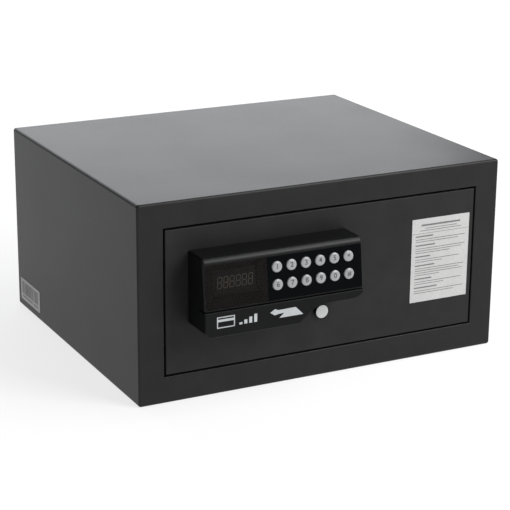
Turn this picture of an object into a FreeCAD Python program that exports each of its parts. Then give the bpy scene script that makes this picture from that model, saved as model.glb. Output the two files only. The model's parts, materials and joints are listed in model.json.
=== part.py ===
import FreeCAD, Part
import math
import os

os.makedirs("parts", exist_ok=True)
V = FreeCAD.Vector

# Frame: origin at the centre of the underside, +X to the right seen from the front, +Y to the back.

# Cabinet
width = 430.0
height = 215.0
depth = 360.0
sheet = 2.0
bend_radius = 3.0
frame_plate = 3.0
border_side = 28.5
border_top = 27.5
border_bottom = 29.0
lip_depth = 16.0
strike_depth = 34.0
anchor_radius = 5.0
anchor_span_x = 300.0
anchor_span_y = 220.0
rear_anchor_span = 240.0
rear_anchor_drop = 60.0
mat_thickness = 2.0
mat_margin = 1.0
mat_setback = 16.0
mat_hole_margin = 3.0
rim_round = 2.4
lip_start = 1.0

# Door
door_gap = 2.0
lip_round = 0.9
door_plate = 4.0
pan_depth = 30.0
pan_sheet = 2.0
pan_inset = 8.0
pan_rise = 5.0
cover_thickness = 1.5
cover_post_radius = 4.0
cover_post_inset = 3.5
cover_screw_radius = 1.5
cover_screw_length = 10.0
cover_head_radius = 3.2
cover_head_height = 1.6
driver_slot = 0.8
pivot_inboard = 22.0
pivot_setback = 8.0
pin_radius = 3.0
bush_radius = 5.0
bush_length = 6.0
bush_collar = 1.2
collar_clearance = 0.1
pin_reach = 5.0
running_clearance = 0.05
block_width = 20.0
block_depth = 10.0
block_height = 20.0

# Keypad housing
housing_offset = 25.1
housing_width = 182.8
housing_wall = 2.2
housing_top = 161.5
slot_height = 107.0
slot_gap = 1.9
slot_depth = 14.0
face_height = 134.2
face_projection = 37.0
face_tilt = 7.14
crown_radius = 6.5
corner_radius = 2.0
fascia_projection = 40.5
fascia_bottom = 79.3
fascia_chamfer = 6.0
fascia_rim = 0.7
step_start = 107.4
strip_height = 7.8
reader_offset = 84.0
reader_width = 12.0
reader_height = 6.0

# Keys
key_columns = 6
key_rows = 2
key_pitch_x = 16.67
key_pitch_z = 18.62
key_bank_offset = 123.9
key_radius = 5.7
key_clearance = 0.3
key_proud = 1.6
key_travel = 1.0
key_flange = 1.0

# Display
lens_thickness = 1.0
panel_thickness = 0.8
face_margin = 1.2
window_inset = 10.0
module_clearance = 1.0
module_depth = 6.4
keypad_board_thickness = 1.6
screw_radius = 1.8
screw_clearance = 0.4
screw_grip = 14.0
screw_head_radius = 3.5
screw_head_height = 2.2
post_radius = 3.4
cable_offset = 103.0
cable_width = 12.0
cable_height = 121.0
cable_thickness = 0.8
cable_clearance = 1.0
cable_drop = 11.0

# Bolt work
bolt_radius = 7.0
bolt_clearance = 0.6
bolt_throw = 20.0
bolt_nose_round = 1.5
guide_length = 8.0
guide_wall = 3.0
bolt_low = 62.0
bolt_high = 155.0
bolt_setback = 19.0
carriage_thickness = 3.0
carriage_width = 40.0
carriage_overhang = 10.0
carriage_flange = 8.0
bolt_screw_radius = 2.0
bolt_screw_head = 3.5
guide_post_inset = 32.0
guide_post_head = 2.0
slot_margin = 1.0
gear_module = 1.25
gear_teeth = 18
gear_width = 4.0
tooth_backlash = 0.15
pressure_angle = math.radians(20.0)
rack_teeth = 11
gear_offset = 98.5
gear_height = 118.0
shaft_radius = 2.0

# Override lock
lock_offset = 153.8
lock_height = 74.0
barrel_radius = 7.0
barrel_proud = 0.8
barrel_tail = 18.0
nut_radius = 10.5
nut_thickness = 4.0
cam_thickness = 2.0
cam_half_width = 4.5
cam_reach = 15.0
plug_radius = 5.0
cap_radius = 7.5
cap_height = 4.8
cap_round = 0.7

# Batteries
battery_radius = 7.2
battery_length = 50.5
battery_count = 4
battery_pitch = 15.0
tray_wall = 1.5
tray_offset = 218.5
tray_bottom = 82.0
slide_clearance = 0.1
cell_nub_radius = 2.7
cell_nub_height = 1.2
lid_thickness = 1.6
lid_overlap = 4.0
rail_width = 2.5
rail_lip = 1.2
rail_lap = 2.0
rail_overrun = 6.0

# Reset button and control board on the inside of the door
board_offset = 132.5
board_width = 70.0
board_bottom = 96.0
board_top = 168.0
board_thickness = 1.6
board_standoff = 3.0
standoff_radius = 2.5
standoff_inset = 4.0
button_offset = 194.5
button_height = 60.0
button_radius = 4.5
button_clearance = 0.25
button_flange = 5.6
button_length = 6.0
switch_half_width = 4.0

# Labels
label_thickness = 0.25
label_width = 73.0
label_height = 94.5
label_bottom = 64.5
label_edge_inset = 5.0
side_label_inset = 8.0
side_label_length = 63.5
side_label_bottom = 9.5
side_label_height = 26.5

front = -depth / 2
back = depth / 2
opening_left = -width / 2 + border_side
opening_right = width / 2 - border_side
opening_top = height - border_top
door_left = opening_left + door_gap
door_right = opening_right - door_gap
door_bottom = border_bottom + door_gap
door_top = opening_top - door_gap
plate_back = front + door_plate
pan_back = plate_back + pan_depth
pan_left = door_left + pan_inset
pan_bottom = door_bottom + pan_rise
pan_top = door_top - pan_rise
pivot_x = door_right - pivot_inboard
pivot_y = front + pivot_setback
pan_right = pivot_x - block_width / 2 - 4.0
housing_left = door_left + housing_offset
housing_right = housing_left + housing_width
bolt_y = front + bolt_setback
bolt_length = guide_length + pan_sheet + bolt_throw + 2.0
tilt = math.radians(face_tilt)
gear_x = pan_left + gear_offset
lock_x = housing_left + lock_offset
tray_x = pan_left + tray_offset
button_x = pan_left + button_offset
board_left = pan_left + board_offset


def box(x0, x1, y0, y1, z0, z1):
    return Part.makeBox(x1 - x0, y1 - y0, z1 - z0, V(x0, y0, z0))


def rod(radius, length, x, y, z, axis):
    return Part.makeCylinder(radius, length, V(x, y, z), axis)


def prism(points, direction):
    wire = Part.makePolygon([V(*p) for p in points + points[:1]])
    return Part.Face(wire).extrude(direction)


def edges_where(shape, test):
    return [e for e in shape.Edges if all(test(v.Point) for v in e.Vertexes)]


def save(node, shape):
    if isinstance(shape, list):
        shape = Part.makeCompound(shape)
    if not shape.isValid():
        print("invalid", node)
    shape.exportStep("parts/" + node + ".step")


X = V(1, 0, 0)
Y = V(0, 1, 0)
Z = V(0, 0, 1)


def anchor_places():
    return [(sx * anchor_span_x / 2, sy * anchor_span_y / 2) for sx in (-1, 1) for sy in (-1, 1)]


def make_cabinet():
    wrap_front = front + frame_plate
    outer = box(-width / 2, width / 2, wrap_front, back, 0, height)
    inner = box(-width / 2 + sheet, width / 2 - sheet, wrap_front, back, sheet, height - sheet)
    along_y = [e for e in outer.Edges if abs(e.tangentAt(e.FirstParameter).y) > 0.9]
    outer = outer.makeFillet(bend_radius, along_y)
    along_y = [e for e in inner.Edges if abs(e.tangentAt(e.FirstParameter).y) > 0.9]
    inner = inner.makeFillet(bend_radius - sheet, along_y)
    wrap = outer.cut(inner)
    mat_side = width / 2 - sheet - mat_margin
    mat = box(-mat_side, mat_side, wrap_front + lip_depth + mat_setback, back - sheet - mat_margin,
              sheet, sheet + mat_thickness)
    for x, y in anchor_places():
        wrap = wrap.cut(rod(anchor_radius, sheet * 3, x, y, -sheet, Z))
        mat = mat.cut(rod(anchor_radius + mat_hole_margin, sheet * 6, x, y, -sheet, Z))
    save("body_wrap", wrap)
    save("floor_mat", mat)

    rear = inner.common(box(-width, width, back - sheet, back, 0, height))
    for side in (-1, 1):
        hole = rod(anchor_radius, sheet * 3, side * rear_anchor_span / 2, back - 2 * sheet,
                   height - rear_anchor_drop, Y)
        rear = rear.cut(hole)
    save("rear_panel", rear)

    plate = box(-width / 2, width / 2, front, wrap_front, 0, height)
    plate = plate.makeFillet(bend_radius, [e for e in plate.Edges if abs(e.tangentAt(0).y) > 0.9])
    rim = edges_where(plate, lambda p: abs(p.y - front) < 1e-6)
    plate = plate.makeFillet(rim_round, rim)
    lips = box(opening_left - sheet, opening_right + sheet, front + lip_start, front + lip_depth,
               border_bottom - sheet, opening_top + sheet)
    strike = box(opening_left - sheet, opening_left, front + lip_start, front + strike_depth,
                 border_bottom - sheet, opening_top + sheet)
    frame = plate.fuse([lips, strike]).removeSplitter()
    frame = frame.cut(box(opening_left, opening_right, front - 1, back, border_bottom, opening_top))
    mouth = edges_where(frame, lambda p: abs(p.y - front) < 1e-6 and abs(p.x) < opening_right + 1
                        and border_bottom - 1 < p.z < opening_top + 1)
    frame = frame.makeFillet(lip_round, mouth)
    for z in (bolt_low, bolt_high):
        hole = rod(bolt_radius + bolt_clearance, 3 * sheet, opening_left - 2 * sheet, bolt_y, z, X)
        frame = frame.cut(hole)
    for z in (border_bottom - 2 * sheet, opening_top - sheet):
        frame = frame.cut(rod(bush_radius, 3 * sheet, pivot_x, pivot_y, z, Z))
    save("front_frame", frame)

    bore = pin_radius + running_clearance
    bushes = []
    collar_height = door_gap - collar_clearance
    collar_top = opening_top - collar_height
    for low, collar in ((border_bottom - bush_length, border_bottom), (opening_top, collar_top)):
        bush = rod(bush_radius, bush_length, pivot_x, pivot_y, low, Z)
        collar_shape = rod(bush_radius + bush_collar, collar_height, pivot_x, pivot_y, collar, Z)
        bush = bush.fuse(collar_shape).cut(rod(bore, 3 * bush_length, pivot_x, pivot_y, low - bush_length, Z))
        bushes.append(bush.removeSplitter())
    save("hinge_bushes", bushes)

    side = -width / 2
    label_back = back - side_label_inset
    save("side_label", box(side - label_thickness, side, label_back - side_label_length, label_back,
                           side_label_bottom, side_label_bottom + side_label_height))


def make_door_plate():
    plate = box(door_left, door_right, front, plate_back, door_bottom, door_top)
    plate = plate.makeFillet(lip_round, edges_where(plate, lambda p: abs(p.y - front) < 1e-6))
    plate = plate.cut(rod(barrel_radius, 20, lock_x, front - 5, lock_height, Y))
    cable_x = housing_left + cable_offset
    plate = plate.cut(box(cable_x - cable_clearance, cable_x + cable_width + cable_clearance,
                          front - 1, plate_back + 1,
                          cable_height - 2 * cable_clearance, cable_height + 2 * cable_clearance))
    for x, z in screw_places():
        plate = plate.cut(rod(screw_radius + screw_clearance, 20, x, front - 5, z, Y))
    save("door_plate", plate)

    ring = box(pan_left, pan_right, plate_back, pan_back, pan_bottom, pan_top)
    ring = ring.cut(box(pan_left + pan_sheet, pan_right - pan_sheet, plate_back, pan_back,
                        pan_bottom + pan_sheet, pan_top - pan_sheet))
    guide = bolt_radius + guide_wall
    for z in (bolt_low, bolt_high):
        ring = ring.cut(rod(guide, 3 * pan_sheet, pan_left - pan_sheet, bolt_y, z, X))
    for x, z in cover_screw_places():
        post = rod(cover_post_radius, pan_depth, x, plate_back, z, Y)
        depth_of_hole = cover_screw_length + 2
        ring = ring.fuse(post).cut(rod(cover_screw_radius, depth_of_hole, x, pan_back - depth_of_hole, z, Y))
    save("door_pan", ring.removeSplitter())

    guides = []
    for z in (bolt_low, bolt_high):
        tube = rod(guide, guide_length, pan_left, bolt_y, z, X)
        bore = rod(bolt_radius + running_clearance, guide_length + 4, pan_left - 2, bolt_y, z, X)
        guides.append(tube.cut(bore))
    save("bolt_guides", guides)


def cover_screw_places():
    inset = pan_sheet + cover_post_inset
    heights = (pan_bottom + inset, pan_top - inset)
    return [(x, z) for x in (pan_left + inset, pan_right - inset) for z in heights]


def screw_places():
    return [(housing_left + 7, 148), (housing_right - 6, 148),
            (housing_left + 12, 94), (housing_left + 92, 94)]


def make_cover():
    cover = box(pan_left, pan_right, pan_back, pan_back + cover_thickness, pan_bottom, pan_top)
    x0, x1, z0, z1 = tray_bay()
    cover = cover.cut(box(x0, x1, pan_back - 1, pan_back + 5, z0, z1))
    lid_low, lid_high = z0 - lid_overlap, z1 + lid_overlap
    rear = pan_back + cover_thickness
    rail_start = x0 - rail_overrun
    rail_end = x1 + rail_overrun
    for inner, outer in ((lid_low, -1), (lid_high, 1)):
        near = inner + outer * slide_clearance
        far = near + outer * rail_width
        lap = near - outer * rail_lap
        top = rear + lid_thickness + 2 * slide_clearance
        rail = box(rail_start, rail_end, rear, top + rail_lip, min(near, far), max(near, far))
        lip = box(rail_start, rail_end, top, top + rail_lip, min(lap, far), max(lap, far))
        cover = cover.fuse([rail, lip])
    stop = box(rail_start, x0 - lid_overlap, rear, rear + lid_thickness, z0, z1)
    cover = cover.fuse(stop).removeSplitter()
    cover = cover.cut(rod(button_radius, 20, button_x, pan_back - 5, button_height, Y))
    for x, z in cover_screw_places():
        cover = cover.cut(rod(cover_screw_radius + slide_clearance, 10, x, pan_back - 3, z, Y))
    save("inner_cover", cover)

    lid_front = rear + slide_clearance
    lid = box(x0 - lid_overlap + slide_clearance, x1 + lid_overlap,
              lid_front, lid_front + lid_thickness, lid_low, lid_high)
    for i in range(3):
        x = x1 - 6 + 3 * i
        ridge = box(x, x + 1.2, lid_front + 1, lid_front + lid_thickness + 0.8, lid_low + 14, lid_high - 14)
        lid = lid.fuse(ridge)
    save("battery_cover", lid.removeSplitter())

    screws = []
    for x, z in cover_screw_places():
        head = rod(cover_head_radius, cover_head_height, x, rear, z, Y)
        reach = cover_head_radius - driver_slot
        head = head.cut(box(x - reach, x + reach, rear + cover_head_height / 2, rear + 2,
                            z - driver_slot / 2, z + driver_slot / 2))
        shank = rod(cover_screw_radius, cover_screw_length, x, rear - cover_screw_length, z, Y)
        screws.append(head.fuse(shank).removeSplitter())
    save("cover_screws", screws)


def tray_bay():
    inner_width = battery_pitch * battery_count
    return (tray_x + tray_wall, tray_x + tray_wall + inner_width,
            tray_bottom + tray_wall, tray_bottom + tray_wall + battery_length + 3)


def make_power():
    x0, x1, z0, z1 = tray_bay()
    floor_y = pan_back - 2 * battery_radius - 4
    tray = box(x0 - tray_wall, x1 + tray_wall, floor_y - tray_wall, pan_back, z0 - tray_wall, z1 + tray_wall)
    save("battery_tray", tray.cut(box(x0, x1, floor_y, pan_back, z0, z1)))
    cells = []
    for i in range(battery_count):
        x = x0 + battery_pitch * (i + 0.5)
        y = floor_y + battery_radius + 0.5
        cell = rod(battery_radius, battery_length - cell_nub_height, x, y, z0 + cell_nub_height, Z)
        nub = rod(cell_nub_radius, cell_nub_height, x, y, z0 + battery_length, Z)
        cells.append(cell.fuse(nub).removeSplitter())
    save("batteries", cells)

    board_y = plate_back + board_standoff
    board_back = board_y + board_thickness
    board = box(board_left, board_left + board_width, board_y, board_back, board_bottom, board_top)
    for x in (board_left + standoff_inset, board_left + board_width - standoff_inset):
        for z in (board_bottom + standoff_inset, board_top - standoff_inset):
            board = board.fuse(rod(standoff_radius, board_standoff, x, plate_back, z, Y))
    chips = ((24, 130, 14, 14, 1.8), (50, 146, 10, 8, 3), (8, 112, 8, 18, 6), (48, 106, 16, 10, 4))
    for along, z, w, h, t in chips:
        x = board_left + along
        board = board.fuse(box(x, x + w, board_y + 1, board_back + t, z, z + h))
    save("control_board", board.removeSplitter())

    rear = pan_back + cover_thickness
    button = rod(button_radius - button_clearance, button_length, button_x, rear - 4.5, button_height, Y)
    button = button.fuse(rod(button_flange, 1, button_x, pan_back - 3.4, button_height, Y))
    save("reset_button", button.removeSplitter())
    switch = box(button_x - switch_half_width, button_x + switch_half_width, plate_back, pan_back - 6,
                 button_height - switch_half_width, button_height + switch_half_width)
    save("reset_switch", switch)


def involute(radius, base_radius):
    angle = math.acos(base_radius / radius)
    return math.tan(angle) - angle


def gear_outline(x, y, z):
    pitch_radius = gear_module * gear_teeth / 2
    base_radius = pitch_radius * math.cos(pressure_angle)
    tip_radius = pitch_radius + gear_module
    root_radius = pitch_radius - 1.25 * gear_module
    half_tooth = math.pi / (2 * gear_teeth) - tooth_backlash / (2 * pitch_radius)
    steps = 5
    radii = [base_radius + (tip_radius - base_radius) * (i / steps) ** 2 for i in range(steps + 1)]
    flank = [(root_radius, half_tooth + involute(pitch_radius, base_radius))]
    flank += [(r, half_tooth + involute(pitch_radius, base_radius) - involute(r, base_radius)) for r in radii]
    points = []
    for tooth in range(gear_teeth):
        centre = (tooth + 0.5) * 2 * math.pi / gear_teeth - math.pi / 2
        side_a = [(r, centre - a) for r, a in flank]
        side_b = [(r, centre + a) for r, a in reversed(flank)]
        points += [(x + r * math.cos(a), y, z + r * math.sin(a)) for r, a in side_a + side_b]
    return points


def make_bolt_work():
    pitch_radius = gear_module * gear_teeth / 2
    tip = pan_left - pan_sheet
    bolts = []
    for z in (bolt_low, bolt_high):
        bolt = rod(bolt_radius, bolt_length, tip, bolt_y, z, X)
        nose = edges_where(bolt, lambda p: abs(p.x - tip) < 1e-6)
        bolts.append(bolt.makeFillet(bolt_nose_round, nose))
    save("locking_bolts", bolts)

    heel = tip + bolt_length
    plate_y = bolt_y + 2
    carriage_low = bolt_low - carriage_overhang
    carriage_high = bolt_high + carriage_overhang
    plate_end = plate_y + carriage_thickness
    plate = box(heel, heel + carriage_width, plate_y, plate_end, carriage_low, carriage_high)
    flange = box(heel, heel + carriage_thickness, bolt_y - carriage_flange, plate_end,
                 carriage_low, carriage_high)
    carriage = plate.fuse(flange)
    pitch_line = gear_height - pitch_radius
    tooth_pitch = math.pi * gear_module
    rack_low = pitch_line - 1.25 * gear_module
    rack_start = gear_x - (rack_teeth // 2 + 0.5) * tooth_pitch + 4 * tooth_pitch
    rack_end = rack_start + rack_teeth * tooth_pitch
    bar = box(heel + 30, rack_end, plate_y, plate_y + carriage_thickness, rack_low - 8, rack_low)
    carriage = carriage.fuse(bar)
    half = tooth_pitch / 4 - tooth_backlash / 2
    lean = math.tan(pressure_angle)
    for i in range(rack_teeth):
        x = rack_start + (i + 0.5) * tooth_pitch
        foot = half + 1.25 * gear_module * lean
        crest = half - gear_module * lean
        rack_high = pitch_line + gear_module
        tooth = prism([(x - foot, plate_y, rack_low), (x + foot, plate_y, rack_low),
                       (x + crest, plate_y, rack_high), (x - crest, plate_y, rack_high)],
                      V(0, carriage_thickness, 0))
        carriage = carriage.fuse(tooth)
    post_x = heel + guide_post_inset
    posts = []
    for z in (bolt_low, bolt_high):
        slot_half = pin_radius + running_clearance
        slot_start = post_x - slot_margin
        slot_end = post_x + bolt_throw + slot_margin
        slot = box(slot_start, slot_end, plate_y - 1, plate_y + 5, z - slot_half, z + slot_half)
        for x in (slot_start, slot_end):
            slot = slot.fuse(rod(slot_half, 6, x, plate_y - 1, z, Y))
        carriage = carriage.cut(slot)
        post_end = plate_end + 2 * slide_clearance
        post = rod(pin_radius, post_end - plate_back, post_x, plate_back, z, Y)
        head = rod(pin_radius + guide_post_head, 1.5, post_x, post_end, z, Y)
        posts.append(post.fuse(head).removeSplitter())
        carriage = carriage.cut(rod(bolt_screw_radius, 10, heel - 1, bolt_y, z, X))
    save("guide_posts", posts)
    save("bolt_carriage", carriage.removeSplitter())

    screws = []
    for z in (bolt_low, bolt_high):
        head = rod(bolt_screw_head, 2, heel + carriage_thickness, bolt_y, z, X)
        head = head.common(box(heel, heel + 9, bolt_y - carriage_flange, plate_y, z - 9, z + 9))
        shank = rod(bolt_screw_radius, carriage_thickness, heel, bolt_y, z, X)
        screws.append(head.fuse(shank).removeSplitter())
    save("bolt_screws", screws)

    gear = prism(gear_outline(gear_x, plate_y - 0.5, gear_height), V(0, gear_width, 0))
    gear = gear.fuse(rod(shaft_radius, 8, gear_x, plate_y - 8, gear_height, Y))
    gear = gear.cut(box(gear_x + 4, gear_x + 7, plate_y - 1, plate_y + 5,
                        gear_height - 1.5, gear_height + 1.5))
    save("drive_gear", gear.removeSplitter())

    gearbox = box(gear_x - 16, gear_x + 20, plate_back, plate_y - 2.5, gear_height - 12, gear_height + 14)
    gearbox = gearbox.cut(rod(shaft_radius + running_clearance, 20, gear_x, plate_y - 12, gear_height, Y))
    top_edges = edges_where(gearbox, lambda p: abs(p.z - gear_height - 14) < 1e-6)
    save("gearbox", gearbox.makeFillet(1.0, top_edges))
    motor = rod(7, 12, gear_x - 4, plate_back + 7.2, gear_height + 14, Z)
    motor = motor.fuse(rod(2.5, 2, gear_x - 4, plate_back + 7.2, gear_height + 26, Z))
    save("motor", motor.removeSplitter())


def make_hinges():
    blocks = []
    pins = []
    for low in (door_bottom, door_top - block_height):
        block = box(pivot_x - block_width / 2, pivot_x + block_width / 2,
                    plate_back, plate_back + block_depth, low, low + block_height)
        blocks.append(block.cut(rod(pin_radius, block_height, pivot_x, pivot_y, low, Z)))
    pin_length = block_height + door_gap + pin_reach
    for low in (border_bottom - pin_reach, door_top - block_height):
        pins.append(rod(pin_radius, pin_length, pivot_x, pivot_y, low, Z))
    save("hinge_blocks", blocks)
    save("hinge_pins", pins)


def make_lock():
    nose = front - barrel_proud
    tail = plate_back + barrel_tail
    barrel = rod(barrel_radius, tail - nose, lock_x, nose, lock_height, Y)
    barrel = barrel.cut(rod(plug_radius + running_clearance, 60, lock_x, nose - 5, lock_height, Y))
    save("lock_barrel", barrel)
    plug = rod(plug_radius, tail - nose - 2, lock_x, nose + 3, lock_height, Y)
    plug = plug.cut(box(lock_x - 3, lock_x + 3, nose, nose + 15, lock_height - 0.6, lock_height + 0.6))
    cam = box(lock_x - cam_half_width, lock_x + cam_half_width, tail + 1, tail + 1 + cam_thickness,
              lock_height - cam_half_width, lock_height + cam_reach)
    save("lock_plug", plug.fuse(cam).removeSplitter())
    nut_points = []
    for i in range(6):
        angle = math.radians(60 * i)
        nut_points.append((lock_x + nut_radius * math.cos(angle), plate_back,
                           lock_height + nut_radius * math.sin(angle)))
    nut = prism(nut_points, V(0, nut_thickness, 0))
    nut = nut.cut(rod(barrel_radius, 20, lock_x, plate_back - 5, lock_height, Y))
    save("lock_nut", nut)
    face = front - 0.1
    cap = rod(cap_radius, cap_height, lock_x, face - cap_height, lock_height, Y)
    cap = cap.makeFillet(cap_round, edges_where(cap, lambda p: abs(p.y - face + cap_height) < 1e-6))
    cap = cap.cut(rod(barrel_radius + 0.15, 1.2, lock_x, face - 1.1, lock_height, Y))
    cap = cap.fuse(rod(plug_radius - 0.6, 2.6, lock_x, face - 1.6, lock_height, Y))
    save("override_cap", cap.removeSplitter())
    switch = box(lock_x + 17, lock_x + 30, plate_back, tail + 2, lock_height - 3, lock_height + 5)
    save("override_switch", switch)


def on_face(shape):
    shape.translate(V(0, front - face_projection, face_height))
    shape.rotate(V(0, front - face_projection, face_height), X, -face_tilt)
    return shape


def face_slab(x0, x1, z0, z1, y0, y1):
    return on_face(box(x0, x1, y0, y1, z0, z1))


def key_places():
    centre = housing_left + key_bank_offset
    places = []
    for row in range(key_rows):
        for column in range(key_columns):
            places.append((centre + (column - (key_columns - 1) / 2) * key_pitch_x,
                           ((key_rows - 1) / 2 - row) * key_pitch_z))
    return places


def face_y(z):
    return front - face_projection + (z - face_height) * math.tan(tilt)


def make_housing():
    low = slot_height + slot_gap / 2
    profile = [(housing_left, front, low), (housing_left, face_y(low), low),
               (housing_left, face_y(housing_top), housing_top), (housing_left, front, housing_top)]
    shell = prism(profile, V(housing_width, 0, 0))
    crown = [e for e in shell.Edges if all(abs(v.Point.z - housing_top) < 1e-6 and v.Point.y < front - 5
                                           for v in e.Vertexes)]
    shell = shell.makeFillet(crown_radius, crown)
    corners = [e for e in shell.Edges if e.BoundBox.XLength < 1e-3 and e.BoundBox.YMax < front - 1
               and e.BoundBox.ZLength > 20]
    shell = shell.makeFillet(corner_radius, corners)
    left, right = housing_left + housing_wall, housing_right - housing_wall
    top = housing_top - housing_wall
    inner_low = low + housing_wall
    crest = crown_radius - 1.0
    cavity = prism([(left, front + 1, inner_low), (left, face_y(inner_low) + housing_wall, inner_low),
                    (left, face_y(top - crest) + housing_wall, top - crest),
                    (left, face_y(top) + housing_wall + crest, top), (left, front + 1, top)],
                   V(right - left, 0, 0))
    shell = shell.cut(cavity)
    places = key_places()
    split = places[0][0] - key_pitch_x * 0.62
    for x, z in places:
        hole = on_face(rod(key_radius + key_clearance, 12, x, -6, z, Y))
        shell = shell.cut(hole)
    face_low = low - face_height + 0.8
    face_high = housing_top - crown_radius - face_height - 0.3
    lens_left = housing_left + face_margin
    panel_right = housing_right - face_margin
    shell = shell.cut(face_slab(lens_left, split, face_low, face_high, -3, lens_thickness))
    shell = shell.cut(face_slab(split, panel_right, face_low, face_high, -3, panel_thickness))
    window_left = lens_left + window_inset
    window_right = split - window_inset - 2
    window = face_slab(window_left, window_right, -12, 14, -3, 6)
    shell = shell.cut(window)
    for x, z in screw_places()[:2]:
        root = face_y(z) + housing_wall - 0.4
        post = rod(post_radius, front - root, x, root, z, Y)
        shell = shell.fuse(post).cut(rod(screw_radius, screw_grip, x, front - screw_grip, z, Y))
    save("upper_housing", shell.removeSplitter())

    lens = face_slab(lens_left + 0.1, split - 0.05, face_low + 0.1, face_high - 0.1, 0, lens_thickness)
    save("display_lens", lens)
    panel = face_slab(split + 0.05, panel_right - 0.1, face_low + 0.1, face_high - 0.1, 0, panel_thickness)
    for x, z in places:
        panel = panel.cut(on_face(rod(key_radius + key_clearance, 12, x, -6, z, Y)))
    save("keypad_panel", panel)
    module_front = lens_thickness + 0.6
    module = face_slab(window_left + module_clearance, window_right - module_clearance,
                       -12 + module_clearance, 14 - module_clearance,
                       module_front, module_front + module_depth)
    save("display_module", module)

    stem_end = housing_wall + 0.1 + key_flange + 1.6
    for i, (x, z) in enumerate(places):
        cap = rod(key_radius, key_proud + housing_wall + 0.1, x, -key_proud, z, Y)
        cap = cap.makeFillet(cap_round, edges_where(cap, lambda p: p.y < 0))
        flange = rod(key_radius + 1, key_flange, x, housing_wall + 0.1, z, Y)
        stem = rod(2, stem_end - housing_wall, x, housing_wall, z, Y)
        save("key_%02d" % (i + 1), on_face(cap.fuse([flange, stem]).removeSplitter()))
    x0, x1 = places[0][0] - 6.5, places[-1][0] + 6.5
    mat_y = stem_end + key_travel + 0.2
    save("key_mat", face_slab(x0, x1, -19, 19, mat_y, mat_y + 1))
    board = face_slab(split - 2, x1, -20, 20, mat_y + 1, mat_y + 1 + keypad_board_thickness)
    save("keypad_board", board)
    cable_x = housing_left + cable_offset
    cable_end = cable_x + cable_width
    cable_back = plate_back + 6
    cable_low = cable_height - cable_thickness / 2
    cable_high = cable_height + cable_thickness / 2
    cable = box(cable_x, cable_end, front - 22, cable_back, cable_low, cable_high)
    drop = box(cable_x, cable_end, cable_back - cable_thickness, cable_back,
               cable_height - cable_drop, cable_high)
    save("ribbon_cable", cable.fuse(drop).removeSplitter())


def make_fascia():
    left, right = housing_left, housing_right
    top = slot_height - slot_gap / 2
    step_top = slot_height + slot_gap / 2
    c = fascia_chamfer
    nose = front - fascia_projection
    rise = housing_left + step_start

    def at(x, z):
        return V(x, nose, z)

    sweep = Part.BSplineCurve()
    strip_bottom = top - strip_height
    sweep.interpolate([at(rise, fascia_bottom), at(rise + 8.4, fascia_bottom + 7),
                       at(rise + 17, fascia_bottom + 13.4), at(rise + 31, strip_bottom - 1.9),
                       at(right - c, strip_bottom)])
    corner = [at(right - c, strip_bottom), at(right, strip_bottom + 4.2), at(right, top), at(left, top),
              at(left, fascia_bottom + c), at(left + c, fascia_bottom), at(rise, fascia_bottom)]
    edges = [sweep.toShape()]
    edges += [Part.makeLine(corner[i], corner[i + 1]) for i in range(len(corner) - 1)]
    body = Part.Face(Part.Wire(edges)).extrude(V(0, fascia_projection, 0))
    body = body.makeChamfer(fascia_rim, edges_where(body, lambda p: abs(p.y - nose) < 1e-6))
    shelf = box(left, right, nose + slot_depth, front, top - 1, step_top)
    body = body.fuse(shelf)
    body = body.cut(box(left + housing_wall, rise - 4, nose + housing_wall, front,
                        fascia_bottom + c, top - housing_wall))
    for x, z in screw_places()[2:]:
        post = rod(post_radius, fascia_projection - housing_wall, x, nose + housing_wall, z, Y)
        body = body.fuse(post).cut(rod(screw_radius, screw_grip, x, front - screw_grip, z, Y))
    head_x = housing_left + reader_offset
    head_end = head_x + reader_width
    head_back = nose + slot_depth + 6
    pocket = box(head_x, head_end, nose + slot_depth - 3, head_back, top - reader_height, step_top + 1)
    body = body.cut(pocket)
    save("lower_fascia", body.removeSplitter())
    head = box(head_x + slide_clearance, head_end - slide_clearance, nose + slot_depth - 2, head_back,
               top - reader_height + slide_clearance, step_top - 0.2)
    save("read_head", head)

    screws = []
    for x, z in screw_places():
        head = rod(screw_head_radius, screw_head_height, x, plate_back, z, Y)
        shank = rod(screw_radius, screw_grip, x, plate_back - screw_grip, z, Y)
        screws.append(head.fuse(shank).removeSplitter())
    save("housing_screws", screws)


def make_label():
    right = door_right - label_edge_inset
    label = box(right - label_width, right, front - label_thickness, front, label_bottom,
                label_bottom + label_height)
    save("instruction_label", label)


make_cabinet()
make_door_plate()
make_cover()
make_power()
make_bolt_work()
make_hinges()
make_lock()
make_housing()
make_fascia()
make_label()
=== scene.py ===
import json
import math
import random

import bmesh
import bpy
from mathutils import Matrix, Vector


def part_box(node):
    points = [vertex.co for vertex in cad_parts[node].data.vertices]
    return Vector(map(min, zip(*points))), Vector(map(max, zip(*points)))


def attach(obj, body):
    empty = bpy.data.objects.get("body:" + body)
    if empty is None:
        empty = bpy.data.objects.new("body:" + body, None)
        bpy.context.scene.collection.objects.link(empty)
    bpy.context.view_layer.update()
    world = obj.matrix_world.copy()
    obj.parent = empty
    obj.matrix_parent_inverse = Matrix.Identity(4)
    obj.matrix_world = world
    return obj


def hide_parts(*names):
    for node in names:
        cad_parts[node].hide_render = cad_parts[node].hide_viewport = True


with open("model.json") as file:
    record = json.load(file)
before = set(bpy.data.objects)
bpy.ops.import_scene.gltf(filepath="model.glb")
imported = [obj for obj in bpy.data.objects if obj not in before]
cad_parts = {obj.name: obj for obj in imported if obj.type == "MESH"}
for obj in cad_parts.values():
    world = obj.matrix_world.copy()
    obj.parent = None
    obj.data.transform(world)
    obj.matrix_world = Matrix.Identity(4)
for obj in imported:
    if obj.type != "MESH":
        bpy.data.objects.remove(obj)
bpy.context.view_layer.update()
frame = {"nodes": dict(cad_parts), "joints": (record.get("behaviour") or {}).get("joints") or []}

MM = 0.001
nodes = frame["nodes"]
scene = bpy.context.scene
random.seed(7)


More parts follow.
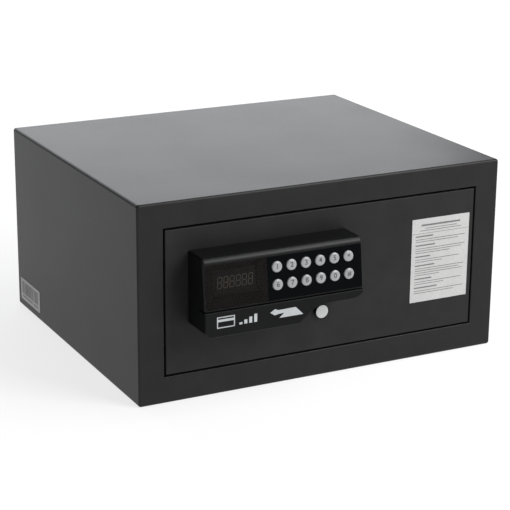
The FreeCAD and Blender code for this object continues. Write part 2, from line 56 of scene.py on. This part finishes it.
# ---------------------------------------------------------------- node helpers

NOISE_SPAN = (0.3, 0.7)  # the range that a noise texture mostly fills
DRAWN_ALONG_X = (60.0, 900.0, 900.0)  # lines run along the axis with the small number
DRAWN_ALONG_Y = (900.0, 60.0, 900.0)


class Nodes:
    """Adds and links nodes in one tree."""

    def __init__(self, tree):
        self.tree = tree

    def add(self, kind, **settings):
        node = self.tree.nodes.new(kind)
        for key, value in settings.items():
            setattr(node, key, value)
        return node

    def link(self, source, target):
        self.tree.links.new(source, target)

    def noise(self, vector, scale, detail=3.0, roughness=0.5):
        node = self.add("ShaderNodeTexNoise")
        node.inputs["Scale"].default_value = scale
        node.inputs["Detail"].default_value = detail
        node.inputs["Roughness"].default_value = roughness
        self.link(vector, node.inputs["Vector"])
        return node.outputs["Fac"]

    def ramp(self, value, low, high, to_low=0.0, to_high=1.0):
        node = self.add("ShaderNodeMapRange")
        for socket, number in zip(("From Min", "From Max", "To Min", "To Max"), (low, high, to_low, to_high)):
            node.inputs[socket].default_value = number
        self.link(value, node.inputs["Value"])
        return node.outputs["Result"]

    def math(self, operation, first, second):
        node = self.add("ShaderNodeMath", operation=operation)
        for socket, value in zip(node.inputs, (first, second)):
            if isinstance(value, (int, float)):
                socket.default_value = value
            else:
                self.link(value, socket)
        return node.outputs["Value"]

    def mix(self, factor, first, second):
        node = self.add("ShaderNodeMix", data_type="RGBA")
        self.link(factor, node.inputs["Factor"])
        for socket, value in ((node.inputs["A"], first), (node.inputs["B"], second)):
            if isinstance(value, tuple):
                socket.default_value = value
            else:
                self.link(value, socket)
        return node.outputs["Result"]


def new_group(name, inputs):
    group = bpy.data.node_groups.new(name, "ShaderNodeTree")
    for label, kind, value in inputs:
        socket = group.interface.new_socket(name=label, in_out="INPUT", socket_type=kind)
        socket.default_value = value
    for label, kind in (("Color", "NodeSocketColor"), ("Roughness", "NodeSocketFloat"),
                        ("Height", "NodeSocketFloat")):
        group.interface.new_socket(name=label, in_out="OUTPUT", socket_type=kind)
    n = Nodes(group)
    source = n.add("NodeGroupInput")
    target = n.add("NodeGroupOutput")
    coords = n.add("ShaderNodeTexCoord").outputs["Object"]
    return group, n, source, target, coords


def fine_finish():
    """Powder coat or moulded grain: a fine texture, faint mottling and dust that settles on upward faces."""
    group, n, source, target, coords = new_group("fine_finish", [
        ("Base", "NodeSocketColor", (0.03, 0.03, 0.03, 1)), ("Grain Scale", "NodeSocketFloat", 900.0),
        ("Variation", "NodeSocketFloat", 0.2), ("Rough", "NodeSocketFloat", 0.4),
        ("Dust", "NodeSocketFloat", 0.1)])
    grain = n.add("ShaderNodeTexNoise")
    grain.inputs["Detail"].default_value = 2.0
    n.link(coords, grain.inputs["Vector"])
    n.link(source.outputs["Grain Scale"], grain.inputs["Scale"])
    mottle = n.noise(coords, scale=38.0, detail=4.0, roughness=0.6)
    smudge = n.ramp(n.noise(coords, scale=9.0, detail=3.0), 0.42, 0.72)
    shade = n.math("MULTIPLY", n.ramp(mottle, *NOISE_SPAN, -1.0, 1.0), source.outputs["Variation"])
    bright = n.math("ADD", n.math("ADD", shade, 1.0), n.ramp(grain.outputs["Fac"], *NOISE_SPAN, -0.08, 0.08))
    tone = n.add("ShaderNodeVectorMath", operation="SCALE")
    n.link(source.outputs["Base"], tone.inputs[0])
    n.link(bright, tone.inputs["Scale"])
    normal = n.add("ShaderNodeNewGeometry").outputs["Normal"]
    parts = n.add("ShaderNodeSeparateXYZ")
    n.link(normal, parts.inputs["Vector"])
    upward = n.ramp(parts.outputs["Z"], 0.5, 1.0)
    specks = n.ramp(n.noise(coords, scale=420.0, detail=2.0), 0.55, 0.75)
    dust = n.math("MULTIPLY", n.math("MULTIPLY", upward, specks), source.outputs["Dust"])
    n.link(n.mix(dust, tone.outputs["Vector"], (0.30, 0.29, 0.27, 1)), target.inputs["Color"])
    rough = n.math("ADD", source.outputs["Rough"], n.math("MULTIPLY", smudge, 0.02))
    rough = n.math("ADD", rough, n.ramp(grain.outputs["Fac"], *NOISE_SPAN, -0.03, 0.03))
    n.link(rough, target.inputs["Roughness"])
    n.link(n.math("ADD", grain.outputs["Fac"], n.math("MULTIPLY", mottle, 0.35)), target.inputs["Height"])
    return group


def brushed_metal():
    """Fine drawn lines along one direction, with darker stains."""
    group, n, source, target, coords = new_group("brushed_metal", [
        ("Base", "NodeSocketColor", (0.5, 0.5, 0.5, 1)), ("Stretch", "NodeSocketVector", DRAWN_ALONG_X),
        ("Rough", "NodeSocketFloat", 0.3)])
    stretch = n.add("ShaderNodeVectorMath", operation="MULTIPLY")
    n.link(coords, stretch.inputs[0])
    n.link(source.outputs["Stretch"], stretch.inputs[1])
    lines = n.noise(stretch.outputs["Vector"], scale=2.0, detail=4.0, roughness=0.6)
    stain = n.ramp(n.noise(coords, scale=60.0, detail=4.0), 0.35, 0.75)
    tone = n.add("ShaderNodeVectorMath", operation="SCALE")
    n.link(source.outputs["Base"], tone.inputs[0])
    n.link(n.math("SUBTRACT", n.ramp(lines, *NOISE_SPAN, 0.86, 1.1), n.math("MULTIPLY", stain, 0.14)),
           tone.inputs["Scale"])
    n.link(tone.outputs["Vector"], target.inputs["Color"])
    n.link(n.math("ADD", source.outputs["Rough"], n.ramp(lines, *NOISE_SPAN, -0.07, 0.07)),
           target.inputs["Roughness"])
    n.link(lines, target.inputs["Height"])
    return group


def felt_fibres():
    """Short tangled fibres with lighter flecks."""
    group, n, source, target, coords = new_group("felt_fibres", [
        ("Base", "NodeSocketColor", (0.05, 0.05, 0.05, 1)),
        ("Fleck", "NodeSocketColor", (0.14, 0.14, 0.14, 1))])
    bend = n.add("ShaderNodeTexNoise")
    bend.inputs["Scale"].default_value = 90.0
    n.link(coords, bend.inputs["Vector"])
    twist = n.add("ShaderNodeVectorMath", operation="SCALE")
    n.link(bend.outputs["Color"], twist.inputs[0])
    twist.inputs["Scale"].default_value = 0.02
    path = n.add("ShaderNodeVectorMath", operation="ADD")
    n.link(coords, path.inputs[0])
    n.link(twist.outputs["Vector"], path.inputs[1])
    fibres = n.noise(path.outputs["Vector"], scale=1400.0, detail=3.0, roughness=0.7)
    n.link(n.mix(n.ramp(fibres, 0.45, 0.75), source.outputs["Base"], source.outputs["Fleck"]),
           target.inputs["Color"])
    n.link(n.ramp(fibres, 0.2, 0.8, 0.85, 1.0), target.inputs["Roughness"])
    n.link(fibres, target.inputs["Height"])
    return group


def board_traces():
    """Solder mask over lighter copper tracks."""
    group, n, source, target, coords = new_group("board_traces", [
        ("Base", "NodeSocketColor", (0.01, 0.08, 0.03, 1)),
        ("Track", "NodeSocketColor", (0.03, 0.2, 0.08, 1))])
    cells = n.add("ShaderNodeTexVoronoi", feature="DISTANCE_TO_EDGE")
    cells.inputs["Scale"].default_value = 260.0
    n.link(coords, cells.inputs["Vector"])
    track = n.ramp(cells.outputs["Distance"], 0.02, 0.06, 1.0, 0.0)
    n.link(n.mix(track, source.outputs["Base"], source.outputs["Track"]), target.inputs["Color"])
    n.link(n.ramp(n.noise(coords, scale=300.0), *NOISE_SPAN, 0.3, 0.45), target.inputs["Roughness"])
    n.link(track, target.inputs["Height"])
    return group


FINE = fine_finish()
BRUSHED = brushed_metal()
FELT = felt_fibres()
BOARD = board_traces()


def material(name, group, values, bump=0.1, distance=0.0001, **shader_values):
    """A Principled material whose colour, roughness and bump come from a shared group."""
    made = bpy.data.materials.new(name)
    made.use_nodes = True
    n = Nodes(made.node_tree)
    shader = made.node_tree.nodes["Principled BSDF"]
    look = n.add("ShaderNodeGroup")
    look.node_tree = group
    for socket, value in values.items():
        look.inputs[socket].default_value = value
    n.link(look.outputs["Color"], shader.inputs["Base Color"])
    n.link(look.outputs["Roughness"], shader.inputs["Roughness"])
    relief = n.add("ShaderNodeBump")
    relief.inputs["Strength"].default_value = bump
    relief.inputs["Distance"].default_value = distance
    n.link(look.outputs["Height"], relief.inputs["Height"])
    n.link(relief.outputs["Normal"], shader.inputs["Normal"])
    for socket, value in shader_values.items():
        shader.inputs[socket.replace("_", " ")].default_value = value
    return made


def fine(name, colour, grain, rough, variation=0.15, dust=0.0, bump=0.1, **more):
    return material(name, FINE, {"Base": colour + (1,), "Grain Scale": grain, "Rough": rough,
                                 "Variation": variation, "Dust": dust}, bump, **more)


def brushed(name, colour, rough, stretch=DRAWN_ALONG_X, bump=0.06):
    values = {"Base": colour + (1,), "Rough": rough, "Stretch": stretch}
    return material(name, BRUSHED, values, bump, Metallic=1.0)


cabinet_paint = fine("cabinet_powder_coat", (0.0075, 0.0077, 0.0075), grain=1500.0, rough=0.33, dust=0.02,
                     bump=0.12, Specular_IOR_Level=0.15)
# front frame and door: the cabinet's black powder coat again, given lighter colours as painted light for the
# light and reflections these front faces catch
front_paint_painted_lighter = fine("front_powder_coat_painted_lighter", (0.0125, 0.0125, 0.0127), grain=1500.0, rough=0.36, bump=0.14,
                   Specular_IOR_Level=0.20)
door_paint_painted_lighter = fine("door_powder_coat_painted_lighter", (0.0170, 0.0170, 0.0173), grain=1500.0, rough=0.5, bump=0.14,
                  Specular_IOR_Level=0.17)
housing_plastic = fine("housing_moulded_grain", (0.0035, 0.0037, 0.0040), grain=1900.0, rough=0.33,
                       dust=0.02, bump=0.1, Specular_IOR_Level=0.19)
fascia_plastic = fine("fascia_moulded_grain", (0.0050, 0.0053, 0.0056), grain=1900.0, rough=0.38, dust=0.02,
                      bump=0.1, Specular_IOR_Level=0.10)
panel_plastic = fine("keypad_overlay", (0.0014, 0.0022, 0.0027), grain=1200.0, rough=0.3, variation=0.1,
                     bump=0.04, Specular_IOR_Level=0.03)
lens_plastic = fine("smoked_lens", (0.0065, 0.0048, 0.0042), grain=300.0, rough=0.16, variation=0.1,
                    bump=0.01, Alpha=0.5, Specular_IOR_Level=0.11)
key_silver = fine("key_silver", (0.33, 0.34, 0.345), grain=1600.0, rough=0.34, variation=0.06, bump=0.06,
                  Metallic=0.35)
digit_ink = fine("key_digit_ink", (0.035, 0.038, 0.04), grain=1200.0, rough=0.5, variation=0.1, bump=0.03)
white_ink = fine("white_print", (0.44, 0.46, 0.47), grain=1400.0, rough=0.5, variation=0.08, bump=0.05)
cap_plastic = fine("override_cap_satin", (0.58, 0.60, 0.59), grain=1200.0, rough=0.38, variation=0.05,
                   bump=0.05)
label_vinyl = fine("label_vinyl", (0.50, 0.50, 0.497), grain=700.0, rough=0.5, variation=0.04, bump=0.05)
label_ink = fine("label_ink", (0.16, 0.16, 0.16), grain=900.0, rough=0.6, variation=0.15, bump=0.02)
sticker_vinyl = fine("sticker_vinyl", (0.34, 0.34, 0.34), grain=700.0, rough=0.5, variation=0.06, bump=0.05)
sticker_ink = fine("sticker_ink", (0.10, 0.10, 0.10), grain=700.0, rough=0.6, variation=0.1, bump=0.02)
segment_print = fine("unlit_segments", (0.50, 0.44, 0.36), grain=900.0, rough=0.5, variation=0.2, bump=0.02)
inner_plastic = fine("inner_moulded_plastic", (0.022, 0.022, 0.023), grain=1100.0, rough=0.48, dust=0.05,
                     bump=0.12)
gear_plastic = fine("gear_acetal", (0.60, 0.58, 0.50), grain=900.0, rough=0.42, variation=0.05, bump=0.05)
red_plastic = fine("reset_red", (0.42, 0.02, 0.015), grain=900.0, rough=0.3, variation=0.08, bump=0.04)
# the hinge bushes are made near-black as painted shade, so their collars seen in the door gap read as the
# gap's shadow
bush_nylon_painted_shade = fine("bush_nylon_painted_shade", (0.003, 0.003, 0.003), grain=900.0, rough=0.6, variation=0.1, bump=0.05,
                  Specular_IOR_Level=0.1)
soft_rubber = fine("soft_rubber", (0.03, 0.03, 0.03), grain=800.0, rough=0.62, variation=0.2, bump=0.1)
cell_sleeve = fine("cell_sleeve", (0.03, 0.032, 0.04), grain=500.0, rough=0.26, variation=0.1, bump=0.02)
cell_band = fine("cell_band", (0.42, 0.17, 0.04), grain=500.0, rough=0.28, variation=0.1, bump=0.02,
                 Metallic=0.5)
zinc = brushed("zinc_plated_steel", (0.56, 0.56, 0.55), 0.32)
bronze = brushed("turned_bronze", (0.52, 0.36, 0.18), 0.34, DRAWN_ALONG_Y)
felt = material("charcoal_felt", FELT, {"Base": (0.022, 0.022, 0.025, 1), "Fleck": (0.075, 0.075, 0.08, 1)},
                bump=0.6, distance=0.0004)
board = material("circuit_board", BOARD,
                 {"Base": (0.008, 0.075, 0.03, 1), "Track": (0.03, 0.17, 0.07, 1)}, bump=0.2)

LOOKS = {
    cabinet_paint: ["body_wrap", "rear_panel"], front_paint_painted_lighter: ["front_frame"],
    door_paint_painted_lighter: ["door_plate", "door_pan", "hinge_blocks"],
    housing_plastic: ["upper_housing", "override_cap"],
    fascia_plastic: ["lower_fascia"], panel_plastic: ["keypad_panel"], lens_plastic: ["display_lens"],
    label_vinyl: ["instruction_label"], sticker_vinyl: ["side_label"],
    zinc: ["locking_bolts", "bolt_carriage", "bolt_screws", "guide_posts", "hinge_pins", "cover_screws",
           "housing_screws", "motor"],
    bronze: ["lock_barrel", "lock_plug", "lock_nut", "bolt_guides"],
    inner_plastic: ["inner_cover", "battery_cover", "battery_tray", "gearbox", "override_switch",
                    "reset_switch", "display_module"],
    bush_nylon_painted_shade: ["hinge_bushes"],
    gear_plastic: ["drive_gear"], board: ["control_board", "keypad_board"],
    soft_rubber: ["key_mat", "ribbon_cable", "read_head"], red_plastic: ["reset_button"],
    cell_sleeve: ["batteries"], felt: ["floor_mat"],
    key_silver: [name for name in nodes if name.startswith(("key_0", "key_1"))],
}
for look, names in LOOKS.items():
    for name in names:
        slots = nodes[name].data.materials
        slots.clear()
        slots.append(look)


# ---------------------------------------------------------------- piece helpers

def piece(name, vertices, faces, look, body, smooth=False):
    mesh = bpy.data.meshes.new(name)
    mesh.from_pydata([tuple(v) for v in vertices], [], faces)
    mesh.materials.append(look)
    mesh.shade_smooth() if smooth else mesh.shade_flat()
    made = bpy.data.objects.new(name, mesh)
    scene.collection.objects.link(made)
    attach(made, body)
    return made


class Plane:
    """A flat working plane: u to the right, v up, n out of the surface."""

    def __init__(self, origin, right, up):
        self.origin, self.right, self.up = Vector(origin), Vector(right), Vector(up)
        self.out = self.right.cross(self.up)

    def at(self, u, v, n=0.0):
        return self.origin + self.right * u + self.up * v + self.out * n


def flat_shapes(name, plane, outlines, thickness, look, body):
    """Thin printed or applied shapes, each an outline in the plane, joined in one piece."""
    vertices, faces = [], []
    for outline in outlines:
        start, count = len(vertices), len(outline)
        vertices += [plane.at(u, v, thickness) for u, v in outline]
        vertices += [plane.at(u, v, 0.0) for u, v in outline]
        faces.append(list(range(start, start + count)))
        faces.append(list(range(start + 2 * count - 1, start + count - 1, -1)))
        for i in range(count):
            j = (i + 1) % count
            faces.append([start + i, start + count + i, start + count + j, start + j])
    return piece(name, vertices, faces, look, body)


def bar(u0, v0, u1, v1):
    return [(u0, v0), (u1, v0), (u1, v1), (u0, v1)]


PRINT = 0.05 * MM
FRONT = Vector((1, 0, 0)), Vector((0, 0, 1))


# ---------------------------------------------------------------- keys and their digits

press = Vector(next(j["axis"] for j in frame["joints"] if j["name"] == "key_01_press"))
face_up = Vector((1, 0, 0)).cross(press)
SYMBOLS = "12345*67890#"
CROWN = 0.35 * MM
DIGIT_HEIGHT = 7.4 * MM
INK_SPREAD = 0.012  # share of a symbol's height that its strokes gain on each side
STAR_DROP = -0.1    # an asterisk sits high, so it comes down by this share of its height


def cap_centre(node):
    points = [v.co for v in nodes[node].data.vertices]
    reach = min(p.dot(press) for p in points)
    crown = [p for p in points if p.dot(press) < reach + 0.05 * MM]
    low = Vector([min(p[i] for p in crown) for i in range(3)])
    high = Vector([max(p[i] for p in crown) for i in range(3)])
    return (low + high) / 2


def symbol_mesh(symbol, plane, height):
    curve = bpy.data.curves.new("symbol", "FONT")
    curve.body = symbol
    curve.size = height
    curve.align_x = "CENTER"
    curve.align_y = "CENTER"
    curve.offset = height * INK_SPREAD
    curve.extrude = PRINT
    holder = bpy.data.objects.new("symbol", curve)
    scene.collection.objects.link(holder)
    bpy.context.view_layer.update()
    mesh = bpy.data.meshes.new_from_object(holder.evaluated_get(bpy.context.evaluated_depsgraph_get()))
    bpy.data.objects.remove(holder)
    drop = STAR_DROP * height if symbol == "*" else 0.0
    vertices = [plane.at(v.co.x, v.co.y + drop, v.co.z) for v in mesh.vertices]
    faces = [list(p.vertices) for p in mesh.polygons]
    bpy.data.meshes.remove(mesh)
    return vertices, faces


def make_digits():
    for i, symbol in enumerate(SYMBOLS):
        node = "key_%02d" % (i + 1)
        plane = Plane(cap_centre(node), (1, 0, 0), face_up)
        plane.origin += plane.out * CROWN
        vertices, faces = symbol_mesh(symbol, plane, DIGIT_HEIGHT)
        piece("digit_on_" + node, vertices, faces, digit_ink, node)


# ---------------------------------------------------------------- display

def make_segments():
    low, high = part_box("display_module")
    middle = (low + high) / 2
    points = [v.co for v in nodes["display_module"].data.vertices]
    reach = min(p.dot(press) for p in points)
    middle += press * (reach - middle.dot(press))
    plane = Plane(middle, (1, 0, 0), face_up)
    count, tall, pitch, stroke, lean = 6, 11 * MM, 6.9 * MM, 1.0 * MM, 0.10
    wide, thick = 4.6 * MM, 0.2 * MM
    trim = 0.86  # a segment stops short of its corners
    half, quarter = tall / 2, tall / 4
    segments = [(0, half, wide, stroke), (0, 0, wide, stroke), (0, -half, wide, stroke)]
    segments += [(sx * wide / 2, sy * quarter, stroke, tall / 2 - stroke) for sx in (-1, 1) for sy in (-1, 1)]
    outlines = []
    for i in range(count):
        centre = (i - (count - 1) / 2) * pitch
        for u, v, w, h in segments:
            corners = bar(u - w / 2 * trim, v - h / 2, u + w / 2 * trim, v + h / 2)
            outlines.append([(centre + a + b * lean, b) for a, b in corners])
    flat_shapes("display_segments", plane, outlines, thick, segment_print, "door")


# ---------------------------------------------------------------- printed marks on the fascia

def make_fascia_marks():
    low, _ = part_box("lower_fascia")
    plane = Plane((low.x, low.y, low.z), *FRONT)
    arrow = [(73, 17.2), (78.5, 20.4), (82.5, 18.8), (102.5, 19.2), (111.5, 10.2), (83.5, 10.2),
             (89.5, 15.0), (82.5, 14.6), (78.5, 13.6)]
    flat_shapes("swipe_arrow", plane, [[(u * MM, v * MM) for u, v in arrow]], PRINT, white_ink, "door")
    card = [bar(13, 9.5, 14.1, 21.5), bar(31.9, 9.5, 33, 21.5), bar(14.1, 20.4, 31.9, 21.5),
            bar(14.1, 9.5, 31.9, 10.6), bar(14.1, 16.2, 31.9, 18.8)]
    steps = [bar(38 + 5.6 * i, 10.2, 41.4 + 5.6 * i, 12.4 + 2.2 * i) for i in range(4)]
    marks = [[(u * MM, v * MM) for u, v in outline] for outline in card + steps]
    flat_shapes("card_pictogram", plane, marks, PRINT, white_ink, "door")


# ---------------------------------------------------------------- labels

def make_door_label():
    low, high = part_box("instruction_label")
    plane = Plane((low.x, low.y, low.z), *FRONT)
    wide, tall = high.x - low.x, high.z - low.z
    inset = 5 * MM
    titles = [(0.16, 0.84, 8.4, 6.4), (0.22, 0.78, 11.3, 10.6), (0.14, 0.86, 13.8, 13.1)]
    outlines = [bar(wide * left, tall - bottom * MM, wide * right, tall - top * MM)
                for left, right, bottom, top in titles]
    v = tall - 20.5 * MM
    heading_height, line_height = 1.5 * MM, 0.7 * MM
    heading_step, line_step, group_gap = 3.2 * MM, 2.5 * MM, 2.0 * MM
    # each group is a heading and its lines, as shares of the label's width
    groups = [(0.30, [1.0, 0.86]), (0.34, [1.0, 0.94, 0.7]), (0.26, [0.9, 0.55]),
              (0.34, [1.0, 0.9, 0.97, 0.5]), (0.3, [0.95, 0.6]), (0.4, [1.0, 0.8])]
    for heading, lines in groups:
        outlines.append(bar(inset, v, inset + heading * wide, v + heading_height))
        v -= heading_step
        for share in lines:
            outlines.append(bar(inset, v, inset + share * (wide - 2 * inset), v + line_height))
            v -= line_step
        v -= group_gap
    flat_shapes("label_text_bars", plane, outlines, PRINT, label_ink, "door")
    dashes = [bar(u * MM, tall - 16.9 * MM, (u + 2.2) * MM, tall - 16.3 * MM) for u in range(1, 71, 3)]
    flat_shapes("label_perforation", plane, dashes, PRINT, label_ink, "door")


def make_side_label():
    low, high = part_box("side_label")
    plane = Plane((low.x, high.y, low.z), (0, -1, 0), (0, 0, 1))
    wide, tall = high.y - low.y, high.z - low.z
    outlines, u = [], 5 * MM
    while u < wide - 7 * MM:
        width = random.choice((0.5, 0.8, 1.2, 1.6)) * MM
        outlines.append(bar(u, 8 * MM, u + width, tall - 3.5 * MM))
        u += width + random.choice((0.6, 0.9, 1.3)) * MM
    outlines += [bar(6 * MM, 4 * MM, wide * 0.6, 5.4 * MM), bar(wide * 0.68, 4 * MM, wide - 6 * MM, 5.4 * MM)]
    flat_shapes("side_label_bars", plane, outlines, PRINT, sticker_ink, "cabinet")


# ---------------------------------------------------------------- felt floor mat

def make_mat():
    low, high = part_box("floor_mat")
    cell, ripple, below_top, slack = 6 * MM, 0.12, 0.15 * MM, 0.4 * MM
    hole_x, hole_y, hole_radius = 150 * MM, 110 * MM, 8 * MM
    across = int((high.x - low.x) / cell)
    along = int((high.y - low.y) / cell)
    mesh = bmesh.new()
    grid = [[mesh.verts.new((low.x + (high.x - low.x) * i / across, low.y + (high.y - low.y) * j / along,
                             high.z - below_top + random.uniform(-ripple, ripple) * MM))
             for j in range(along + 1)] for i in range(across + 1)]
    for i in range(across):
        for j in range(along):
            mesh.faces.new((grid[i][j], grid[i + 1][j], grid[i + 1][j + 1], grid[i][j + 1]))
    holes = [Vector((sx * hole_x, sy * hole_y)) for sx in (-1, 1) for sy in (-1, 1)]
    gone = [f for f in mesh.faces
            if any((f.calc_center_median().xy - hole).length < hole_radius for hole in holes)]
    bmesh.ops.delete(mesh, geom=gone, context="FACES")
    data = bpy.data.meshes.new("felt_mat")
    mesh.to_mesh(data)
    mesh.free()
    data.materials.append(felt)
    data.shade_smooth()
    mat = bpy.data.objects.new("felt_mat", data)
    scene.collection.objects.link(mat)
    shell = mat.modifiers.new("thickness", "SOLIDIFY")
    shell.thickness = high.z - low.z - slack
    shell.offset = -1
    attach(mat, "cabinet")
    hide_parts("floor_mat")


# ---------------------------------------------------------------- small built pieces

def lathe(name, origin, axis, profile, look, body, count=32):
    """A turned piece: profile holds (distance along the axis, radius) pairs."""
    axis = Vector(axis)
    side = axis.orthogonal().normalized()
    other = axis.cross(side)
    vertices, faces = [], []
    for along, radius in profile:
        for k in range(count):
            angle = 2 * math.pi * k / count
            spoke = side * math.cos(angle) + other * math.sin(angle)
            vertices.append(Vector(origin) + axis * along + spoke * radius)
    for r in range(len(profile) - 1):
        for k in range(count):
            j = (k + 1) % count
            faces.append([r * count + k, r * count + j, (r + 1) * count + j, (r + 1) * count + k])
    faces.append(list(range(count - 1, -1, -1)))
    last = (len(profile) - 1) * count
    faces.append([last + k for k in range(count)])
    return piece(name, vertices, faces, look, body, smooth=True)


def make_cell_bands():
    """The coloured band near the top of each cell."""
    low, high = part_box("batteries")
    cells, start, proud = 4, 34 * MM, 0.06 * MM
    radius = (high.y - low.y) / 2
    pitch = (high.x - low.x - 2 * radius) / (cells - 1)
    profile = [(0, radius), (0.3 * MM, radius + proud), (11 * MM, radius + proud), (11.3 * MM, radius)]
    for i in range(cells):
        origin = (low.x + radius + i * pitch, low.y + radius, low.z + start)
        lathe("cell_band_%d" % (i + 1), origin, (0, 0, 1), profile, cell_band, "door")


def make_corner_welds():
    """Ground weld beads where the wrap meets the front frame at its two upper corners."""
    low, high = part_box("front_frame")
    corner, steps, height = 3.0 * MM, 8, 0.12 * MM
    across = ((-1.0, 0), (-0.4, 1), (0.4, 1), (1.0, 0))  # place along the seam in mm, and how far raised
    for side, name in ((-1, "left"), (1, "right")):
        x = low.x if side < 0 else high.x
        rows = []
        for i in range(steps + 1):
            angle = math.radians(90 * i / steps)
            centre = Vector((x - side * corner, low.y + corner, high.z - corner))
            rows.append(centre + Vector((side * math.cos(angle), 0, math.sin(angle))) * corner)
        vertices, faces = [], []
        for i, point in enumerate(rows):
            lift = (point - Vector((x - side * corner, point.y, high.z - corner))).normalized()
            swell = height * (1 + 0.4 * math.sin(i * 2.1))
            for along, raised in across:
                vertices.append(point + Vector((0, along * MM, 0)) + lift * swell * raised)
        count = len(across)
        for i in range(steps):
            for k in range(count - 1):
                a = i * count + k
                faces.append([a, a + 1, a + count + 1, a + count])
        piece("corner_weld_" + name, vertices, faces, cabinet_paint, "cabinet", smooth=True)


def make_cap_disc():
    """The pale inlay that fills the front of the pull-off cap."""
    low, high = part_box("override_cap")
    radius = (high.x - low.x) / 2
    origin = ((low.x + high.x) / 2, low.y, (low.z + high.z) / 2)
    rim = 0.35 * MM
    inlay = radius - rim
    profile = [(-0.1 * MM, inlay), (0.12 * MM, inlay), (0.2 * MM, inlay - 0.15 * MM),
               (0.22 * MM, inlay - 0.5 * MM), (0.24 * MM, 0.1 * MM)]
    lathe("cap_inlay", origin, (0, -1, 0), profile, cap_plastic, "override_cap", count=56)


def make_key_crowns():
    """The domed top of each key, just inside the rim of its cap."""
    rim, steps = 1.8 * MM, 8
    flat_middle = 0.98  # keeps the dome's last ring from closing to a point
    for i in range(len(SYMBOLS)):
        node = "key_%02d" % (i + 1)
        centre = cap_centre(node)
        low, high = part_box(node)
        radius = (high.x - low.x) / 2 - rim
        profile = [(0.0, radius)]
        for step in range(1, steps):
            turn = step / steps * math.pi / 2
            profile.append((CROWN * math.sin(turn), radius * math.cos(turn * flat_middle)))
        lathe("crown_on_" + node, centre, -press, profile, key_silver, node, count=40)


make_cap_disc()
make_key_crowns()
make_digits()
make_segments()
make_fascia_marks()
make_door_label()
make_side_label()
make_mat()
make_cell_bands()
make_corner_welds()


# ---------------------------------------------------------------- stage, light and camera

def make_floor():
    size, drop = 6.0, -0.2 * MM
    mesh = bpy.data.meshes.new("floor")
    mesh.from_pydata([(-size, -size, drop), (size, -size, drop), (size, size, drop), (-size, size, drop)], [],
                     [(0, 1, 2, 3)])
    look = bpy.data.materials.new("pale_floor")
    look.use_nodes = True
    shader = look.node_tree.nodes["Principled BSDF"]
    shader.inputs["Base Color"].default_value = (0.30, 0.30, 0.30, 1)
    shader.inputs["Roughness"].default_value = 0.9
    shader.inputs["Emission Color"].default_value = (1, 1, 1, 1)
    shader.inputs["Emission Strength"].default_value = 0.75
    mesh.materials.append(look)
    floor = bpy.data.objects.new("floor", mesh)
    scene.collection.objects.link(floor)


def area_light(name, place, target, size, power, tint=(1.0, 1.0, 1.0)):
    data = bpy.data.lights.new(name, "AREA")
    data.shape = "RECTANGLE"
    data.size, data.size_y = size
    data.energy = power
    data.color = tint
    lamp = bpy.data.objects.new(name, data)
    lamp.location = place
    lamp.rotation_euler = (Vector(target) - Vector(place)).to_track_quat("-Z", "Y").to_euler()
    lamp.visible_camera = False
    scene.collection.objects.link(lamp)


def make_world():
    world = bpy.data.worlds.new("studio")
    scene.world = world
    world.use_nodes = True
    background = world.node_tree.nodes["Background"]
    background.inputs["Color"].default_value = (1, 1, 1, 1)
    n = Nodes(world.node_tree)
    path = n.add("ShaderNodeLightPath")
    fill, backdrop = 0.20, 1.0
    n.link(n.ramp(path.outputs["Is Camera Ray"], 0.0, 1.0, fill, backdrop), background.inputs["Strength"])


def make_camera():
    data = bpy.data.cameras.new("view")
    data.sensor_width = 36.0
    data.lens = 121.1
    data.clip_start = 0.05
    camera = bpy.data.objects.new("view", data)
    scene.collection.objects.link(camera)
    forward = Vector((0.4352, 0.8470, -0.3053)).normalized()
    up = Vector((0.1319, 0.2755, 0.9522))
    right = forward.cross(up).normalized()
    up = right.cross(forward)
    turn = camera.matrix_world.to_3x3()
    for row in range(3):
        turn[row][0], turn[row][1], turn[row][2] = right[row], up[row], -forward[row]
    camera.matrix_world = turn.to_4x4()
    camera.location = (-0.8515, -1.6747, 0.685)
    scene.camera = camera


make_floor()
make_world()
area_light("back_softbox", place=(0.58, 3.2, 1.3), target=(0.0, 0.0, 0.3), size=(3.6, 2.1), power=51,
           tint=(0.94, 0.97, 1.0))
area_light("left_softbox", place=(-2.6, -0.6, 1.7), target=(0.0, 0.0, 0.1), size=(1.6, 1.6), power=3)
area_light("right_softbox", place=(3.0, -0.3, 1.4), target=(0.0, 0.0, 0.1), size=(1.6, 1.6), power=14)
area_light("overhead_softbox", place=(1.5, -0.85, 2.6), target=(0.0, -0.2, 0.15), size=(1.4, 1.3), power=22)
area_light("front_softbox", place=(1.5, -2.2, 1.7), target=(0.0, -0.2, 0.2), size=(1.4, 1.9), power=70)
make_camera()
scene.view_settings.view_transform = "Standard"
